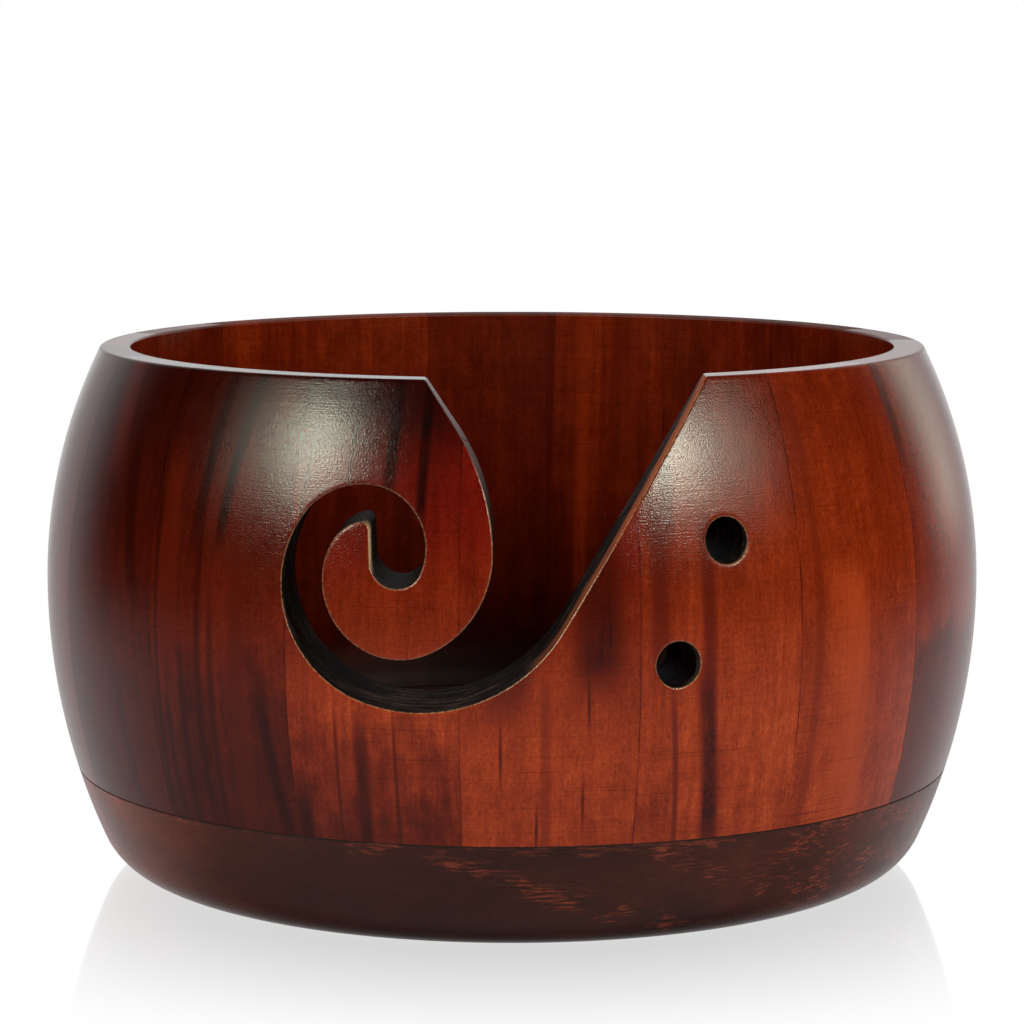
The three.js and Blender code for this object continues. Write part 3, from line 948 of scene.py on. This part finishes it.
# The far wall: tones as seen on its inside, with the inside's shade painted into them, darkest towards the
# floor, and how much lighter its outside is, which takes that painted shade off again.
INNER = dict(joint=0.85, fibre=0.3, rim_rough=0.55, outside=2.3)
SIDE = dict(rim_rough=0.08)  # the staves at both sides
STAVE_LOOKS = {
    15: dict(**SIDE, tones=((20, 0.055), (55, 0.045), (90, 0.026)), lean=0.1, bands=0.3),
    16: dict(
        tones=((20, 0.030), (60, 0.032), (78, 0.022), (97, 0.014)), lean=0.1, bands=0.35,
        streaks=(
            ((-52, 22), (-53, 45), 1.6, 0.45, 0.016),
            ((-59, 104), (-56, 82), 4.0, 0.7, 0.070),
            ((-49, 60), (-52, 86), 2.4, 0.6, 0.014),
            ((-48, 60), (-48, 80), 1.6, 0.4, 0.045),
        ),
    ),
    17: dict(
        tones=((22, 0.027), (38, 0.032), (55, 0.054), (74, 0.034), (97, 0.016)), lean=0.1, bands=0.4,
        streaks=(
            ((-42.8, 50), (-43.2, 84), 3.2, 0.75, 0.090),
            ((-32.2, 22), (-32.2, 84), 2.8, 0.7, 0.075),
            ((-29.5, 84), (-28.5, 99), 3.0, 0.7, 0.050),
            ((-45.0, 22), (-45.0, 80), 0.8, 0.5, 0.018),
            ((-43.2, 20), (-43.4, 44), 1.0, 0.5, 0.018),
            ((-41.0, 20), (-40.6, 50), 1.3, 0.5, 0.016),
            ((-38.2, 24), (-38.0, 99), 1.0, 0.5, 0.016),
            ((-36.3, 20), (-36.0, 60), 0.9, 0.45, 0.018),
            ((-35.2, 72), (-32.6, 102), 1.7, 0.8, 0.008),
            ((-39.0, 72), (-37.0, 102), 1.5, 0.6, 0.008),
            ((-29.4, 46), (-26.8, 18), 1.8, 0.7, 0.016),
        ),
    ),
    18: dict(
        tones=((21, 0.052), (33, 0.085), (46, 0.14), (62, 0.085), (80, 0.055), (97, 0.012)), lean=0.12,
        bands=0.4, crimson=0.5, joint=0.65,
        streaks=(
            ((-17.2, 16), (-17.0, 42), 1.9, 0.75, 0.030),
            ((-20.2, 18), (-20.0, 44), 0.5, 0.6, 0.040),
            ((-24.8, 18), (-24.8, 29), 2.2, 0.8, 0.014),
            ((-13.0, 18), (-13.2, 44), 0.5, 0.6, 0.040),
            ((-12.6, 42), (-12.6, 58), 0.8, 0.5, 0.220),
            ((-14.2, 80), (-13.6, 104), 1.7, 0.75, 0.007),
            ((-10.3, 76), (-9.8, 104), 1.4, 0.8, 0.007),
            ((-19.2, 78), (-18.6, 99), 0.6, 0.7, 0.018),
            ((-24.6, 76), (-24.0, 99), 0.5, 0.6, 0.020),
        ),
    ),
    1: dict(
        tones=((20, 0.145), (36, 0.155), (48, 0.115), (62, 0.082), (88, 0.064)), bands=0.25, crimson=0.45,
        joint=0.65,
        streaks=(
            ((3.9, 18), (3.6, 50), 1.4, 0.45, 0.10),
            ((9.6, 49), (9.6, 74), 6.5, 0.75, 0.030),
            ((-1.5, 44), (1.0, 54), 5.0, 0.6, 0.045),
            ((-1.3, 33), (-1.3, 41), 0.4, 0.9, 0.020),
            ((8.1, 25), (8.0, 31), 0.4, 0.9, 0.020),
            ((2.8, 20), (2.8, 27), 0.4, 0.9, 0.030),
            ((8.5, 43), (8.4, 49), 0.4, 0.9, 0.040),
        ),
    ),
    2: dict(
        tones=((21, 0.140), (40, 0.165), (52, 0.135), (68, 0.092), (97, 0.050)), lean=0.15, bands=0.35,
        streaks=(
            ((22.3, 46), (22.0, 78), 2.0, 0.65, 0.060),
            ((16.4, 50), (16.2, 80), 2.4, 0.5, 0.045),
            ((23.9, 18), (21.8, 50), 2.5, 0.85, 0.034),
            ((19.5, 16), (18.0, 47), 0.8, 0.6, 0.050),
            ((17.8, 74), (17.4, 99), 1.4, 0.5, 0.030),
        ),
    ),
    3: dict(
        tones=((21, 0.145), (36, 0.148), (56, 0.125), (76, 0.105), (97, 0.075)), bands=0.3, wander=1.0,
        streaks=(
            ((43.4, 14), (41.6, 66), 6.5, 0.8, 0.36),
            ((36.0, 14), (36.0, 99), 1.5, 0.4, 0.10),
        ),
    ),
    4: dict(
        **SIDE,
        tones=((22, 0.047), (46, 0.048), (54, 0.10), (68, 0.085), (97, 0.058)), bands=0.35,
        streaks=(((55.2, 84), (55.0, 101), 2.0, 0.6, 0.030),),
    ),
    5: dict(**SIDE, tones=((20, 0.05), (50, 0.06), (90, 0.045)), bands=0.3),
    6: dict(rim_rough=0.2),
    # Staves 7 to 12 form the far wall: their tones hold the painted shade of the bowl's inside, darkest
    # towards the floor.
    7: dict(**INNER, tones=((20, 0.016), (50, 0.030), (75, 0.045), (98, 0.060)), bands=0.5),
    8: dict(**INNER, tones=((20, 0.012), (60, 0.032), (98, 0.060)), bands=0.5),
    9: dict(
        **INNER,
        tones=((20, 0.018), (45, 0.035), (70, 0.052), (98, 0.070)), bands=0.5,
        streaks=(((168, 30), (168, 110), 2.2, 0.8, 0.170), ((173.4, 20), (173.2, 110), 1.6, 0.6, 0.030),
                 ((161, 60), (160, 110), 2.6, 0.5, 0.120)),
    ),
    10: dict(**INNER, tones=((20, 0.014), (50, 0.028), (75, 0.038), (98, 0.050)), bands=0.25),
    11: dict(**INNER, tones=((20, 0.020), (50, 0.034), (75, 0.050), (98, 0.082)), bands=0.3),
    12: dict(**INNER, tones=((20, 0.020), (50, 0.034), (75, 0.055), (98, 0.080)), bands=0.5),
    13: dict(rim_rough=0.2),
    14: SIDE,
}


def finish_piece(name, bm, slot, *materials):
    """Makes one piece's object, in place of its CAD node."""
    piece = new_mesh_object(name + "_turned", bm)
    for material in materials:
        piece.data.materials.append(material)
    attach(piece, "root")
    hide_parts(name)


woods = {n: [wall_wood(n, STAVE_LOOKS.get(n, {}))] for n in range(1, STAVES + 1)}
for number in CUT_STAVES:
    woods[number].append(wall_wood(number, STAVE_LOOKS[number], sawn=True))
for name, bm, number in wall_pieces():
    finish_piece(name, bm, "wall_wood", *woods[number])
for order, (name, bm) in enumerate(base_boards()):
    finish_piece(name, bm, "base_wood", base_wood(name, 90.0 * order))


# ---- studio ------------------------------------------------------------------------------
LENS = 122.32
CAMERA_PLACE = (0, -0.66506, 0.15535)
LOOKS_DOWN = 7.555  # degrees
SOFTBOX_COLOUR = (0.97, 1.0, 0.80)
SOFTBOX_DISTANCE = 1.2
FILL = 0.5  # brightness of the white surroundings as diffuse light
FLOOR_GLOW = 0.7  # what the floor adds to the bowl's light
FLOOR_SHINE = 0.36  # share of the mirror image close to the bowl
SHINE_FADE = (0.060, 0.145)  # radii between which the mirror image fades
FLOOR_ROUGHNESS = 0.05


def camera_view():
    data = bpy.data.cameras.new("camera")
    data.sensor_width = 36
    data.lens = LENS
    camera = bpy.data.objects.new("camera", data)
    camera.location = CAMERA_PLACE
    camera.rotation_euler = (math.radians(90 - LOOKS_DOWN), 0, 0)
    bpy.context.scene.collection.objects.link(camera)
    bpy.context.scene.camera = camera


def softbox(name, azimuth, elevation, wide, tall, radiance, mirrored_at):
    """An area light seen from a place on the bowl: angles in degrees, azimuth from the front."""
    round_axis, up = math.radians(azimuth), math.radians(elevation)
    level = math.cos(up)
    towards = Vector((math.sin(round_axis) * level, -math.cos(round_axis) * level, math.sin(up)))
    data = bpy.data.lights.new(name, "AREA")
    data.shape = "RECTANGLE"
    data.size = 2 * SOFTBOX_DISTANCE * math.tan(math.radians(wide / 2))
    data.size_y = 2 * SOFTBOX_DISTANCE * math.tan(math.radians(tall / 2))
    data.energy = radiance * math.pi * data.size * data.size_y
    data.color = SOFTBOX_COLOUR
    lamp = bpy.data.objects.new(name, data)
    lamp.location = Vector(mirrored_at) * MM + towards * SOFTBOX_DISTANCE
    lamp.rotation_euler = towards.to_track_quat("Z", "Y").to_euler()
    bpy.context.scene.collection.objects.link(lamp)


def surroundings():
    """White to the camera, soft fill, and for reflections a white room behind and a dark one in front."""
    world = bpy.data.worlds.new("studio")
    world.use_nodes = True
    graph = Graph(world.node_tree)
    background = world.node_tree.nodes["Background"]
    x, y, z = graph.split(graph.node("ShaderNodeTexCoord").outputs["Generated"])
    path = graph.node("ShaderNodeLightPath")
    air = graph.add(graph.step(y, 0.45, 0.80, 0.0, 0.55), graph.step(y, 0.90, 0.985, 0.0, 0.53))
    ground = graph.add(graph.step(y, -0.1, 0.6, 0.24, 0.52), graph.step(y, 0.6, 0.95, 0.0, 0.12))
    under = graph.mul(graph.step(z, -0.85, -0.25, 0.85, 0.0), graph.step(y, -0.2, 0.3))
    ground = graph.mul(ground, graph.rest(under))
    ground, air = graph.vector(*grey(ground)), graph.vector(*grey(air))
    mirrored = graph.mix(graph.step(z, -0.24, -0.09), ground, air)
    seen = graph.mix(path.outputs["Is Glossy Ray"], grey(FILL), mirrored)
    seen = graph.mix(path.outputs["Is Camera Ray"], seen, grey(1.0))
    graph.feed(background.inputs["Color"], seen)
    bpy.context.scene.world = world


def pale_floor():
    """A white sheet, seen from above only, with a shine that fades away from the bowl."""
    bm = bmesh.new()
    bmesh.ops.create_circle(bm, cap_ends=True, radius=4.0, segments=64)
    mesh = bpy.data.meshes.new("floor")
    bm.to_mesh(mesh)
    bm.free()
    floor = bpy.data.objects.new("floor", mesh)
    floor.location.z = -0.0002
    bpy.context.scene.collection.objects.link(floor)
    material = bpy.data.materials.new("pale_floor")
    material.use_nodes = True
    graph = Graph(material.node_tree)
    tree = material.node_tree
    tree.nodes.remove(tree.nodes["Principled BSDF"])
    path = graph.node("ShaderNodeLightPath").outputs["Is Camera Ray"]
    white = (1, 1, 1, 1)
    glow = graph.node("ShaderNodeEmission", white, graph.step(path, 0.0, 1.0, FLOOR_GLOW, 1.0))
    shine = graph.node("ShaderNodeBsdfGlossy", white, FLOOR_ROUGHNESS)
    x, y, _ = graph.split(graph.node("ShaderNodeTexCoord").outputs["Object"])
    share = graph.step(graph.length(x, y), *SHINE_FADE, FLOOR_SHINE, 0.0)
    sheet = graph.node("ShaderNodeMixShader", share, glow.outputs[0], shine.outputs[0])
    below = graph.node("ShaderNodeNewGeometry").outputs["Backfacing"]
    clear = graph.node("ShaderNodeBsdfTransparent")
    one_sided = graph.node("ShaderNodeMixShader", below, sheet.outputs[0], clear.outputs[0])
    graph.feed(tree.nodes["Material Output"].inputs["Surface"], one_sided.outputs[0])
    mesh.materials.append(material)
    floor.visible_glossy = False


camera_view()
softbox("key_left", -61, 27, 31, 20, 2.5, (-36, -75, 88))
softbox("key_left_core", -54.0, 28.5, 10.5, 15, 19.0, (-36, -75, 88))
softbox("key_right", 52, 28, 30, 22, 3.2, (30, -78, 88))
softbox("key_right_core", 42, 29.5, 11, 12, 26.0, (30, -78, 88))
softbox("edge_right", 136, 13, 16, 32, 1.1, (78, -35, 80))
surroundings()
pale_floor()
bpy.context.scene.view_settings.view_transform = "Standard"
